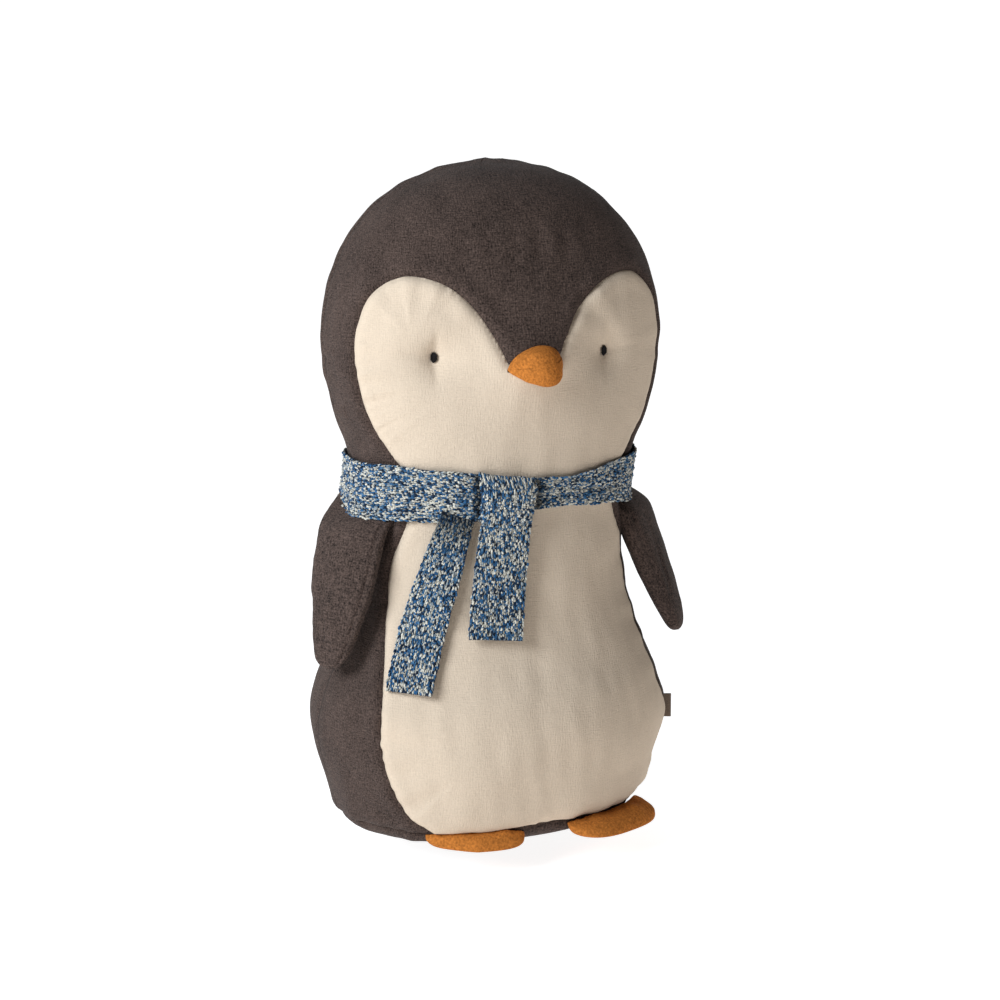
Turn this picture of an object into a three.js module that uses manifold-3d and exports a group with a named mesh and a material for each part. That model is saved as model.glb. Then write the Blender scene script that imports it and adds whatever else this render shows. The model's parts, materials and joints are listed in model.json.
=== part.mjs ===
// Plush penguin with a knitted scarf, in millimetres. +Z is up and the toy faces -Y.
// The origin is the middle of the flat base, on the surface the toy stands on.
//
// Head and body are one stuffed bag of sewn panels. The bag is first made straight, cut into
// its panels, and then every vertex is turned and leaned by settle(), as the soft toy stands.

import * as THREE from 'three';
import { mergeVertices } from 'three/addons/utils/BufferGeometryUtils.js';
import Module from 'manifold-3d';

const wasm = await Module();
wasm.setup();

// ---- driving dimensions ----

const HEIGHT = 500;
const CLOTH = 1.2;            // thickness of a sewn panel
const GAP = 0.3;              // clearance between touching pieces
const FILLING_GAP = 0.8;      // clearance between the skin and what it holds
const NECK_Z = 262;           // seam between head and body, under the scarf
const BASE_SEAM_Z = 14;       // seam between the base panel and the panels above it
const SIDE_SEAM_Y = 6;        // seam between the front and back panels of the head
const PELLET_TOP_Z = 30;      // top of the weight bag inside the base
const BAG_ROWS = 22;
const BAG_COLUMNS = 32;
const OUTLINE_STEPS = 22;
const SECTION_POWER = 2.15;   // 2 is an ellipse, more is squarer

// Half the bag's width against height, from the rim of the flat base to the crown.
const BAG_PROFILE = [
  [94, 0], [109, 5.5], [122, 20], [131, 46], [137, 80], [133.5, 108], [121.5, 136], [109, 168],
  [102.5, 202], [101, 235], [104, 262], [111, 290], [120.5, 316], [127, 345], [128.5, 375],
  [125, 403], [116, 430], [100.5, 454], [78, 475], [45, 491], [0, HEIGHT],
];

// Depth as a share of half the width, against height.
const FRONT_DEPTH = [
  [0, 0.74], [30, 0.78], [85, 0.78], [200, 0.76], [262, 0.72], [350, 0.61], [420, 0.63], [500, 0.72],
];
const BACK_DEPTH = [
  [0, 0.74], [30, 0.76], [85, 0.78], [200, 0.78], [262, 0.76], [350, 0.72], [500, 0.72],
];

// How the soft toy stands, against height: turned about Z in degrees, and leaning along +X.
const TURN = [[0, 0], [240, 0], [285, -4], [500, -4]];
const LEAN = [[0, 0], [240, 0], [300, 4], [500, 4]];

// The belly and feet are sewn on a little askew: how far their middle lies along +X, against height.
const BELLY_DRIFT = [[0, 13], [30, 12], [150, 0]];

// Right half of each outline seen from the front, as x and z.
const FACE_OUTLINE = [
  [19, 357], [29, 378], [44, 400], [64, 415], [88, 419], [108, 405], [117, 378], [115, 345],
  [105, 312], [89, 286], [74, 265], [66, 245],
];
const BELLY_OUTLINE = [
  [78, 275], [84, 240], [92, 212], [97, 180], [104, 145], [114, 110], [121, 80], [117, 50],
  [106, 28], [88, 14], [76, -4],
];

const MUZZLE = { z: 356, rise: 11, halfWidth: 32, halfHeight: 34 };
const EYE = {
  x: 65, shift: -3, z: 362, dimple: 8, dimpleRadius: 15, halfWidth: 2.2, halfHeight: 3.1, halfDepth: 1.7,
};
const THREAD = { radius: 0.5, start: 3, sink: 14, steps: 16, sides: 6 };
const BEAK = { z: 357, halfWidth: 19.5, halfHeight: 15, reach: 17, cloth: 1, seamDrop: 8 };

const SCARF = { thickness: 4, lowZ: 244, highZ: 284, standOff: 0.6 };
const KNOT = { topX: -16, topZ: 275, endX: -20, endZ: 247, width: 40, thickness: 9 };
const FRONT_TAIL = { topX: -20, topZ: 239.6, endX: -32, endZ: 159, topWidth: 38, endWidth: 40, standOff: 5 };
const SIDE_TAIL = { topX: -55, topZ: 238, endX: -93, endZ: 121, topWidth: 26, endWidth: 34, standOff: 3.5 };
const TAIL_THICKNESS = 3.5;
const TAIL_STEPS = 10;

const FLIPPER = {
  x: 112, y: -13, z: 241, facing: 60, halfWidth: 31, length: 112, halfThickness: 8, taper: 0.24,
};
const LEFT_SPLAY = 21;        // degrees from hanging straight down
const RIGHT_SPLAY = 12;

const FOOT = { height: 13.5, cloth: 1, flex: 15, hingeZ: 12, behindHinge: 1 };
const LEFT_FOOT = { x: 68, y: -74, splay: 22, halfWidth: 37, halfLength: 24 };
const RIGHT_FOOT = { x: -38, y: -77, splay: -12, halfWidth: 33, halfLength: 18 };
const LABEL = { z: 80, height: 18, reach: 7, thickness: 1.2 };

const COLOURS = {
  dark: 0x433a37, cream: 0xd9ccb8, ochre: 0xa8682a, black: 0x12100f,
  knit: 0x6f8295, stuffing: 0xf0ede6, pellets: 0xc9bfae, label: 0x7a6a5c,
};

// ---- small helpers ----

function smoothTable(table, z) {
  if (z <= table[0][0]) return table[0][1];
  for (let i = 1; i < table.length; i++) {
    const [z0, v0] = table[i - 1];
    const [z1, v1] = table[i];
    if (z <= z1) return v0 + (v1 - v0) * THREE.MathUtils.smoothstep(z, z0, z1);
  }
  return table[table.length - 1][1];
}

function signedPower(value, power) {
  return Math.sign(value) * Math.abs(value) ** power;
}

function bell(a, b) {
  return Math.exp(-(a * a + b * b));
}

function mapVertices(geometry, change) {
  const position = geometry.attributes.position;
  const point = new THREE.Vector3();
  for (let i = 0; i < position.count; i++) {
    point.fromBufferAttribute(position, i);
    change(point);
    position.setXYZ(i, point.x, point.y, point.z);
  }
  return geometry;
}

// One shared vertex at each place, and no triangle that has lost its area at a pole.
function weld(geometry) {
  const bare = geometry.clone();
  bare.deleteAttribute('normal');
  bare.deleteAttribute('uv');
  const merged = mergeVertices(bare, 1e-4);
  const kept = [];
  for (let i = 0; i < merged.index.count; i += 3) {
    const corner = [0, 1, 2].map((k) => merged.index.getX(i + k));
    if (new Set(corner).size === 3) kept.push(...corner);
  }
  merged.setIndex(kept);
  return merged;
}

function toSolid(geometry) {
  const welded = weld(geometry);
  return new wasm.Manifold(new wasm.Mesh({
    numProp: 3,
    vertProperties: Float32Array.from(welded.attributes.position.array),
    triVerts: Uint32Array.from(welded.index.array),
  }));
}

function toGeometry(solid) {
  const mesh = solid.getMesh();
  const geometry = new THREE.BufferGeometry();
  geometry.setAttribute('position', new THREE.BufferAttribute(mesh.vertProperties, 3));
  geometry.setIndex(new THREE.BufferAttribute(mesh.triVerts, 1));
  return geometry;
}

function block(x0, x1, y0, y1, z0, z1) {
  const geometry = new THREE.BoxGeometry(x1 - x0, y1 - y0, z1 - z0);
  geometry.translate((x0 + x1) / 2, (y0 + y1) / 2, (z0 + z1) / 2);
  return toSolid(geometry);
}

const FAR = 400;
const above = (z) => block(-FAR, FAR, -FAR, FAR, z, 2 * FAR);
const below = (z) => block(-FAR, FAR, -FAR, FAR, -FAR, z);
const leftOf = (x) => block(x, FAR, -FAR, FAR, -FAR, 2 * FAR);
const rightOf = (x) => block(-FAR, x, -FAR, FAR, -FAR, 2 * FAR);
const inFrontOf = (y) => block(-FAR, FAR, -FAR, y, -FAR, 2 * FAR);
const behind = (y) => block(-FAR, FAR, y, FAR, -FAR, 2 * FAR);

// ---- the stuffed bag ----

const profileCurve = new THREE.SplineCurve(BAG_PROFILE.map(([w, z]) => new THREE.Vector2(w, z)));
const profileSamples = profileCurve.getPoints(600);

function halfWidthAt(z) {
  const next = profileSamples.findIndex((sample) => sample.y > z);
  if (next < 1) return profileSamples[0].x;
  const a = profileSamples[next - 1];
  const b = profileSamples[next];
  return a.x + (b.x - a.x) * (z - a.y) / (b.y - a.y);
}

// The beak's seat stands out of the face, and the stitched eyes pull it in.
function faceRelief(x, z) {
  const muzzle = MUZZLE.rise * bell(x / MUZZLE.halfWidth, (z - MUZZLE.z) / MUZZLE.halfHeight);
  const aside = Math.abs(x - EYE.shift) - EYE.x;
  const dimple = EYE.dimple * bell(aside / EYE.dimpleRadius, (z - EYE.z) / EYE.dimpleRadius);
  return muzzle - dimple;
}

function frontPoint(x, z) {
  const width = halfWidthAt(z);
  const share = Math.min(Math.abs(x) / width, 1);
  const depth = width * smoothTable(FRONT_DEPTH, z) * (1 - share ** SECTION_POWER) ** (1 / SECTION_POWER);
  return new THREE.Vector3(x, -depth - faceRelief(x, z), z);
}

function frontNormal(x, z) {
  const step = 0.5;
  const across = frontPoint(x + step, z).sub(frontPoint(x - step, z));
  const up = frontPoint(x, z + step).sub(frontPoint(x, z - step));
  return across.cross(up).normalize();
}

// The bag's outer form, moved inwards along its normals by inset (outwards if negative).
function bagForm(inset) {
  const profile = [new THREE.Vector2(0, 0), ...profileCurve.getPoints(BAG_ROWS)];
  profile[profile.length - 1].set(0, HEIGHT);
  const lathe = new THREE.LatheGeometry(profile, BAG_COLUMNS);
  mapVertices(lathe, (p) => {
    const radius = Math.hypot(p.x, p.z);
    const sine = radius > 0 ? p.x / radius : 0;
    const cosine = radius > 0 ? p.z / radius : 0;
    const height = p.y;
    const share = smoothTable(cosine > 0 ? FRONT_DEPTH : BACK_DEPTH, height);
    const x = radius * signedPower(sine, 2 / SECTION_POWER);
    const relief = cosine > 0 ? faceRelief(x, height) * cosine : 0;
    p.set(x, -radius * share * signedPower(cosine, 2 / SECTION_POWER) - relief, height);
  });
  const form = weld(lathe);
  form.computeVertexNormals();
  const normals = form.attributes.normal;
  const position = form.attributes.position;
  for (let i = 0; i < position.count; i++) {
    position.setXYZ(
      i,
      position.getX(i) - inset * normals.getX(i),
      position.getY(i) - inset * normals.getY(i),
      position.getZ(i) - inset * normals.getZ(i),
    );
  }
  return toSolid(form);
}

// A prism along Y in front of the toy, from a right-half outline grown by margin.
function frontPrism(outline, margin, drift = 0) {
  const curve = new THREE.SplineCurve(outline.map(([x, z]) => new THREE.Vector2(x, z)));
  const half = curve.getPoints(OUTLINE_STEPS);
  const loop = [...half, ...half.map((p) => new THREE.Vector2(-p.x, p.y)).reverse()];
  if (drift) loop.forEach((p) => { p.x += smoothTable(drift, p.y); });
  const grown = loop.map((p, i) => {
    const before = loop[(i + loop.length - 1) % loop.length];
    const after = loop[(i + 1) % loop.length];
    const along = after.clone().sub(before).normalize();
    const side = THREE.ShapeUtils.isClockWise(loop) ? -1 : 1;
    return new THREE.Vector2(p.x + along.y * margin * side, p.y - along.x * margin * side);
  });
  const prism = new THREE.ExtrudeGeometry(new THREE.Shape(grown), { depth: FAR, bevelEnabled: false });
  prism.rotateX(Math.PI / 2);
  return toSolid(prism);
}

// How the finished toy stands: its base turned one way, its head the other and leaning a little.
function settle(p) {
  const angle = THREE.MathUtils.degToRad(smoothTable(TURN, p.z));
  const x = p.x * Math.cos(angle) - p.y * Math.sin(angle);
  const y = p.x * Math.sin(angle) + p.y * Math.cos(angle);
  p.x = x + smoothTable(LEAN, p.z);
  p.y = y;
}

const bagOuter = bagForm(0);
const bagInner = bagForm(CLOTH);
const bagFilling = bagForm(CLOTH + FILLING_GAP);
const bagClear = bagForm(-GAP);
const bagSkin = bagOuter.subtract(bagInner);

// ---- the scene ----

const toy = new THREE.Group();

function addPiece(name, geometry, colour, roughness) {
  const material = new THREE.MeshStandardMaterial({ color: colour, roughness, metalness: 0 });
  const flat = geometry.index ? geometry.toNonIndexed() : geometry;
  flat.computeVertexNormals();
  const mesh = new THREE.Mesh(flat, material);
  mesh.name = name;
  toy.add(mesh);
}

function addSettled(name, solid, colour, roughness = 0.95) {
  addPiece(name, mapVertices(toGeometry(solid), settle), colour, roughness);
}

function addHead() {
  const skin = bagSkin.intersect(above(NECK_Z + GAP / 2));
  const dark = skin.subtract(frontPrism(FACE_OUTLINE, GAP / 2));
  const back = dark.intersect(behind(SIDE_SEAM_Y + GAP / 2));
  addSettled('head_front_panel', dark.intersect(inFrontOf(SIDE_SEAM_Y - GAP / 2)), COLOURS.dark);
  addSettled('head_back_left_panel', back.intersect(leftOf(GAP / 2)), COLOURS.dark);
  addSettled('head_back_right_panel', back.intersect(rightOf(-GAP / 2)), COLOURS.dark);
  addSettled('face_panel', skin.intersect(frontPrism(FACE_OUTLINE, -GAP / 2)), COLOURS.cream);
  const filling = bagFilling.intersect(above(NECK_Z + GAP / 2)).subtract(threadChannel());
  addSettled('head_filling', filling, COLOURS.stuffing);
}

function addBody() {
  const skin = bagSkin.intersect(below(NECK_Z - GAP / 2));
  const sides = skin.intersect(above(BASE_SEAM_Z + GAP));
  const dark = sides.subtract(frontPrism(BELLY_OUTLINE, GAP / 2, BELLY_DRIFT));
  addSettled('belly_panel', sides.intersect(frontPrism(BELLY_OUTLINE, -GAP / 2, BELLY_DRIFT)), COLOURS.cream);
  addSettled('back_left_panel', dark.intersect(leftOf(GAP / 2)), COLOURS.dark);
  addSettled('back_right_panel', dark.intersect(rightOf(-GAP / 2)), COLOURS.dark);
  addSettled('base_panel', skin.intersect(below(BASE_SEAM_Z)), COLOURS.dark);
  const filling = bagFilling.intersect(below(NECK_Z - GAP / 2));
  addSettled('body_filling', filling.intersect(above(PELLET_TOP_Z + GAP)), COLOURS.stuffing);
  addSettled('base_pellet_bag', filling.intersect(below(PELLET_TOP_Z)), COLOURS.pellets);
}

// ---- eyes and beak ----

// The thread that ties the eyes together through the stuffing.
function eyeThread(radius) {
  const end = threadEnd();
  const inside = end + THREAD.sink;
  const bends = [[EYE.x, end], [EYE.x - 3, (end + inside) / 2], [EYE.x - 14, inside], [0, inside + 4]];
  const route = [...bends, ...bends.slice(0, 3).map(([x, y]) => [-x, y]).reverse()];
  const path = new THREE.CatmullRomCurve3(route.map(([x, y]) => new THREE.Vector3(x + EYE.shift, y, EYE.z)));
  const section = new THREE.Shape();
  for (let i = 0; i < THREAD.sides; i++) {
    const angle = 2 * Math.PI * i / THREAD.sides;
    const corner = [radius * Math.cos(angle), radius * Math.sin(angle)];
    if (i === 0) section.moveTo(...corner);
    else section.lineTo(...corner);
  }
  section.closePath();
  const options = { steps: THREAD.steps, extrudePath: path, bevelEnabled: false };
  return toSolid(new THREE.ExtrudeGeometry(section, options));
}

function threadEnd() {
  const left = frontPoint(EYE.shift + EYE.x, EYE.z).y;
  const right = frontPoint(EYE.shift - EYE.x, EYE.z).y;
  return Math.max(left, right) + THREAD.start;
}

// The hole that the thread lies in, open at the face behind each eye.
function threadChannel() {
  const wall = THREAD.radius + GAP;
  const end = threadEnd() + wall;
  const mouth = (x) => block(x - wall, x + wall, -FAR, end, EYE.z - wall, EYE.z + wall);
  return eyeThread(wall).add(mouth(EYE.shift + EYE.x)).add(mouth(EYE.shift - EYE.x));
}

function addEyes() {
  for (const [name, side] of [['eye_left', 1], ['eye_right', -1]]) {
    const x = EYE.shift + side * EYE.x;
    const [low, high] = [EYE.z - EYE.halfHeight, EYE.z + EYE.halfHeight];
    const seat = block(x - EYE.halfWidth, x + EYE.halfWidth, -FAR, 0, low, high);
    const front = bagOuter.intersect(seat).boundingBox().min[1];
    const bead = new THREE.SphereGeometry(1, 8, 6);
    bead.scale(EYE.halfWidth, EYE.halfDepth, EYE.halfHeight);
    bead.translate(x, front - EYE.halfDepth, EYE.z);
    addSettled(name, toSolid(bead), COLOURS.black, 0.4);
  }
  addSettled('eye_tie_thread', eyeThread(THREAD.radius), COLOURS.black);
}

// The beak's rounded form, drooping towards its tip, shrunk all round by inset.
function beakForm(inset) {
  const form = new THREE.SphereGeometry(1, 16, 10);
  form.scale(BEAK.halfWidth - inset, BEAK.reach - inset, BEAK.halfHeight - inset);
  const seat = frontPoint(0, BEAK.z);
  form.translate(0, seat.y, BEAK.z);
  mapVertices(form, (p) => {
    const reach = Math.max(seat.y - p.y, 0) / BEAK.reach;
    p.z -= 4 * reach * reach;
  });
  return toSolid(form);
}

function addBeak() {
  const shell = beakForm(0).subtract(beakForm(BEAK.cloth)).subtract(bagClear);
  const seam = BEAK.z - BEAK.seamDrop;
  addSettled('beak_upper', shell.intersect(above(seam + GAP / 2)), COLOURS.ochre);
  addSettled('beak_lower', shell.intersect(below(seam - GAP / 2)), COLOURS.ochre);
  addSettled('beak_filling', beakForm(BEAK.cloth + GAP).subtract(bagClear), COLOURS.stuffing);
}

// ---- scarf ----

function addScarfWrap() {
  const ring = bagForm(-SCARF.standOff - SCARF.thickness).subtract(bagForm(-SCARF.standOff));
  addSettled('scarf_wrap', ring.intersect(above(SCARF.lowZ)).intersect(below(SCARF.highZ)), COLOURS.knit);
}

// A flat strip hanging down the front, straight across its width and bent along its length.
function strip(shape, thickness) {
  const length = Math.hypot(shape.endX - shape.topX, shape.endZ - shape.topZ);
  const box = new THREE.BoxGeometry(1, length, thickness, 2, TAIL_STEPS, 1);
  const down = new THREE.Vector2(shape.endX - shape.topX, shape.endZ - shape.topZ).divideScalar(length);
  return mapVertices(box, (p) => {
    const along = 0.5 - p.y / length;
    const x = shape.topX + down.x * along * length;
    const z = shape.topZ + down.y * along * length;
    const normal = frontNormal(x, z);
    const across = new THREE.Vector3(-down.y, 0, down.x).projectOnPlane(normal).normalize();
    const width = THREE.MathUtils.lerp(shape.topWidth, shape.endWidth, Math.min(3 * along, 1));
    const out = shape.standOff + thickness / 2 + p.z;
    const aside = p.x * width;
    p.copy(frontPoint(x, z)).addScaledVector(normal, out).addScaledVector(across, aside);
  });
}

function addScarfFront() {
  const standOff = SCARF.standOff + SCARF.thickness + 2.2;
  const knot = { ...KNOT, topWidth: KNOT.width, endWidth: KNOT.width, standOff };
  addSettled('scarf_knot', toSolid(strip(knot, KNOT.thickness)), COLOURS.knit);
  addSettled('scarf_tail_front', toSolid(strip(FRONT_TAIL, TAIL_THICKNESS)), COLOURS.knit);
  addSettled('scarf_tail_side', toSolid(strip(SIDE_TAIL, TAIL_THICKNESS)), COLOURS.knit);
}

// ---- flippers ----

// A padded paddle in its own frame: hanging from the origin down -Z, its faces along Y.
function paddle(inset) {
  const form = new THREE.SphereGeometry(1, 12, 12);
  form.rotateX(Math.PI / 2);
  return mapVertices(form, (p) => {
    const width = (FLIPPER.halfWidth - inset) * (1 + FLIPPER.taper * p.z);
    const blunt = (1 - p.z ** 4) ** 0.25 / Math.max((1 - p.z ** 2) ** 0.5, 1e-6);
    p.x *= width * Math.min(blunt, 1.4);
    p.y *= FLIPPER.halfThickness - inset;
    p.z = p.z * (FLIPPER.length / 2 - inset) - FLIPPER.length / 2;
  });
}

function addFlipper(side, splay, suffix) {
  const outer = toSolid(paddle(0));
  const shell = outer.subtract(toSolid(paddle(CLOTH)));
  const halves = [
    [`flipper_${suffix}_outer`, shell.intersect(inFrontOf(-GAP / 2)), COLOURS.dark],
    [`flipper_${suffix}_inner`, shell.intersect(behind(GAP / 2)), COLOURS.dark],
    [`flipper_${suffix}_filling`, toSolid(paddle(CLOTH + GAP)), COLOURS.stuffing],
  ];
  const place = new THREE.Matrix4().makeTranslation(side * FLIPPER.x, FLIPPER.y, FLIPPER.z);
  place.multiply(new THREE.Matrix4().makeRotationZ(THREE.MathUtils.degToRad(side * FLIPPER.facing)));
  place.multiply(new THREE.Matrix4().makeRotationX(THREE.MathUtils.degToRad(-splay)));
  for (const [name, solid, colour] of halves) {
    addPiece(name, toGeometry(solid).applyMatrix4(place), colour, 0.95);
  }
}

// ---- feet ----

// A pad flat on the floor in its own frame, its hinge line along X, shrunk all round by inset.
function footPad(foot, inset) {
  const form = new THREE.SphereGeometry(1, 18, 8);
  form.rotateX(Math.PI / 2);
  mapVertices(form, (p) => {
    p.x *= foot.halfWidth - inset;
    p.y *= foot.halfLength - inset;
    p.z = Math.max(p.z * (FOOT.height / 2 + 1 - inset) + FOOT.height / 2 - 1, inset);
  });
  return toSolid(form);
}

// Where the pad may not be: in the bag, at rest and with the foot flexed up, and behind the hinge.
function footRoom(place) {
  const rest = toGeometry(bagClear).applyMatrix4(place.clone().invert());
  const lifted = rest.clone();
  lifted.translate(0, 0, -FOOT.hingeZ);
  lifted.rotateX(THREE.MathUtils.degToRad(FOOT.flex));
  lifted.translate(0, 0, FOOT.hingeZ);
  return toSolid(rest).add(toSolid(lifted)).add(behind(FOOT.behindHinge));
}

function addFoot(foot, suffix) {
  const place = new THREE.Matrix4().makeTranslation(foot.x, foot.y, 0);
  place.multiply(new THREE.Matrix4().makeRotationZ(THREE.MathUtils.degToRad(foot.splay)));
  const room = footRoom(place);
  const shell = footPad(foot, 0).subtract(footPad(foot, FOOT.cloth)).subtract(room);
  const parts = [
    ['upper', shell.intersect(above(FOOT.cloth + GAP)), COLOURS.ochre],
    ['sole', footPad(foot, 0).intersect(below(FOOT.cloth)).subtract(room), COLOURS.ochre],
    ['filling', footPad(foot, FOOT.cloth + GAP).subtract(room), COLOURS.stuffing],
  ];
  for (const [part, solid, colour] of parts) {
    addPiece(`foot_${suffix}_${part}`, toGeometry(solid).applyMatrix4(place), colour, 0.95);
  }
}

// ---- side label ----

// A folded tape sewn into the seam between the belly and the left side of the back.
function addLabel() {
  const edge = profileEdge(BELLY_OUTLINE, LABEL.z) + smoothTable(BELLY_DRIFT, LABEL.z);
  const foot = frontPoint(edge, LABEL.z);
  const out = frontNormal(edge, LABEL.z).setZ(0).normalize();
  const tape = new THREE.BoxGeometry(LABEL.reach, LABEL.thickness, LABEL.height);
  tape.translate(LABEL.reach / 2 + 3 * GAP, 0, 0);
  tape.rotateZ(Math.atan2(out.y, out.x));
  tape.translate(foot.x, foot.y, foot.z);
  addSettled('side_label', toSolid(tape), COLOURS.label);
}

function profileEdge(outline, z) {
  const points = new THREE.SplineCurve(outline.map(([x, y]) => new THREE.Vector2(x, y))).getPoints(200);
  return points.reduce((best, p) => (Math.abs(p.y - z) < Math.abs(best.y - z) ? p : best)).x;
}

addHead();
addBody();
addEyes();
addBeak();
addScarfWrap();
addScarfFront();
addFlipper(1, LEFT_SPLAY, 'left');
addFlipper(-1, RIGHT_SPLAY, 'right');
addFoot(LEFT_FOOT, 'left');
addFoot(RIGHT_FOOT, 'right');
addLabel();

export default toy;
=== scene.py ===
import json
import math

import bpy
import numpy as np
from mathutils import Matrix, Vector
from mathutils.kdtree import KDTree


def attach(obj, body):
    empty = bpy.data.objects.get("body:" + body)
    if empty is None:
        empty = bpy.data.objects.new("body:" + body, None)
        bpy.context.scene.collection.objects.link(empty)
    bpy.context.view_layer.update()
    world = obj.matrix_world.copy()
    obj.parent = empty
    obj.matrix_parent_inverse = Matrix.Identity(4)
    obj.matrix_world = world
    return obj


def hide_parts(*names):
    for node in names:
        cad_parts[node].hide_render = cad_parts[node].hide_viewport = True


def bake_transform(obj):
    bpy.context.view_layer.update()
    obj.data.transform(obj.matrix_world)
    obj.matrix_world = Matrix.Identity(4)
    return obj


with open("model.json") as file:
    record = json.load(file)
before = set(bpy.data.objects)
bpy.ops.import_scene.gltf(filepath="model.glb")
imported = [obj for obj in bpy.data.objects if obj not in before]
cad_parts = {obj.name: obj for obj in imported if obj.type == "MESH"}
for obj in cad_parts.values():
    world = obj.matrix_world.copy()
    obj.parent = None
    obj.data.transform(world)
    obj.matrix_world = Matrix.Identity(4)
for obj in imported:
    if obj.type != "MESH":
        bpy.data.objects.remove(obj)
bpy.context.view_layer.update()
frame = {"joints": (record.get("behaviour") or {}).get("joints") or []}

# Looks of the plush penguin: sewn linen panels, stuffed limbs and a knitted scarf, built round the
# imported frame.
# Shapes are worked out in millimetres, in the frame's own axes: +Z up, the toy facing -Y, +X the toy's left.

joints = {joint["name"]: joint for joint in frame["joints"]}

# ---- dimensions in millimetres ----
# The bag's are the CAD's. The face's outline and the eyes lie up to 2 mm from the CAD's.

MM = 0.001
HEIGHT = 500.0
NECK_Z = 262.0
BASE_SEAM_Z = 14.0
SIDE_SEAM_Y = 6.0
PELLET_TOP_Z = 30.0
SECTION_POWER = 2.15

BAG_PROFILE = [
    (94, 0), (109, 5.5), (122, 20), (131, 46), (137, 80), (133.5, 108), (121.5, 136), (109, 168),
    (102.5, 202), (101, 235), (104, 262), (111, 290), (120.5, 316), (127, 345), (128.5, 375),
    (125, 403), (116, 430), (100.5, 454), (78, 475), (45, 491), (0, HEIGHT),
]
FRONT_DEPTH = [
    (0, 0.74), (30, 0.78), (85, 0.78), (200, 0.76), (262, 0.72), (350, 0.61), (420, 0.63), (500, 0.72),
]
BACK_DEPTH = [(0, 0.74), (30, 0.76), (85, 0.78), (200, 0.78), (262, 0.76), (350, 0.72), (500, 0.72)]
TURN = [(0, 0), (240, 0), (285, -4), (500, -4)]
LEAN = [(0, 0), (240, 0), (300, 4), (500, 4)]
BELLY_DRIFT = [(0, 13), (30, 12), (150, 0)]
FACE_OUTLINE = [
    (19, 357), (29, 378), (44, 400), (64, 415), (88, 419), (108, 405), (117, 378), (116, 345),
    (107, 312), (91, 286), (76, 265), (68, 245),
]
BELLY_OUTLINE = [
    (78, 275), (84, 240), (92, 212), (97, 180), (104, 145), (114, 110), (121, 80), (117, 50),
    (106, 28), (88, 14), (76, -4),
]

MUZZLE = {"z": 356, "rise": 11, "half_width": 32, "half_height": 34}
EYE = {"x": 65, "shift": -1.2, "z": 361.5, "dimple": 8, "dimple_radius": 15, "pit": 2.0, "pit_radius": 5.5}

BAG_COLUMNS = 400
BAG_ROWS = 400
SEAM_ALLOWANCE = 4.0
STUFFING_INSET = 5.5
VALLEY_DEPTH = 1.9          # how deep a seam pulls the cloth in
VALLEY_REACH = 2.1
PUFF_HEIGHT = 1.1           # how high the cloth stands beside a seam
PUFF_AT = 7
PUFF_REACH = 6
# Depth, height and reach of the folds that cinch the toy's left side.
CINCHES = [(3.2, 47, 6.5), (2.2, 19, 5), (1.8, 107, 8)]
BEHIND = 60                 # least distance outside an outline that the back of the bag counts as


# ---- shared helpers ----

def smooth_table(table, z):
    """Values of a table of (height, value), eased between its entries."""
    heights = np.array([row[0] for row in table], float)
    values = np.array([row[1] for row in table], float)
    z = np.clip(z, heights[0], heights[-1])
    i = np.clip(np.searchsorted(heights, z, side="right") - 1, 0, len(heights) - 2)
    share = (z - heights[i]) / (heights[i + 1] - heights[i])
    share = share * share * (3 - 2 * share)
    return values[i] + (values[i + 1] - values[i]) * share


def spline(points, count):
    """count points along a smooth curve through the given ones."""
    points = np.array(points, float)
    padded = np.vstack([points[:1], points, points[-1:]])
    at = np.linspace(0, len(points) - 1, count)
    i = np.minimum(at.astype(int), len(points) - 2)
    u = (at - i)[:, None]
    before, start, end, after = (padded[i + k] for k in range(4))
    leave, arrive = (end - before) / 2, (after - start) / 2
    cubic = 2 * start - 2 * end + leave + arrive
    square = 3 * end - 3 * start - 2 * leave - arrive
    return cubic * u**3 + square * u**2 + leave * u + start


def even_steps(points, count):
    """The curve through points again, with count points at equal distances along it."""
    along = np.concatenate([[0], np.cumsum(np.linalg.norm(np.diff(points, axis=0), axis=1))])
    at = np.linspace(0, along[-1], count)
    return np.stack([np.interp(at, along, points[:, k]) for k in range(points.shape[1])], axis=1)


def signed_power(value, power):
    return np.sign(value) * np.abs(value) ** power


def bell(*offsets):
    return np.exp(-sum(np.asarray(offset) ** 2 for offset in offsets))


def unit(vectors):
    return vectors / np.maximum(np.linalg.norm(vectors, axis=-1, keepdims=True), 1e-9)


def ripple(points, wavelength, seed, waves=14):
    """A smooth random field over space, repeatable for its seed, mostly between -2 and 2."""
    rng = np.random.default_rng(seed)
    directions = unit(rng.normal(size=(waves, points.shape[1])))
    lengths = wavelength * rng.uniform(0.75, 1.35, waves)
    phases = rng.uniform(0, 2 * math.pi, waves)
    total = np.zeros(len(points))
    for direction, length, phase in zip(directions, lengths, phases):
        total += np.sin(points @ direction * (2 * math.pi / length) + phase)
    return total / math.sqrt(waves / 2)


def grid_faces(rows, columns, closed=False):
    """Quads of a grid of rows by columns points, its last column joined to its first if closed."""
    across = columns if closed else columns - 1
    i, j = np.meshgrid(np.arange(rows - 1), np.arange(across), indexing="ij")
    right = (j + 1) % columns
    corners = [i * columns + j, i * columns + right, (i + 1) * columns + right, (i + 1) * columns + j]
    return np.stack([corner.ravel() for corner in corners], axis=1)


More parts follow.
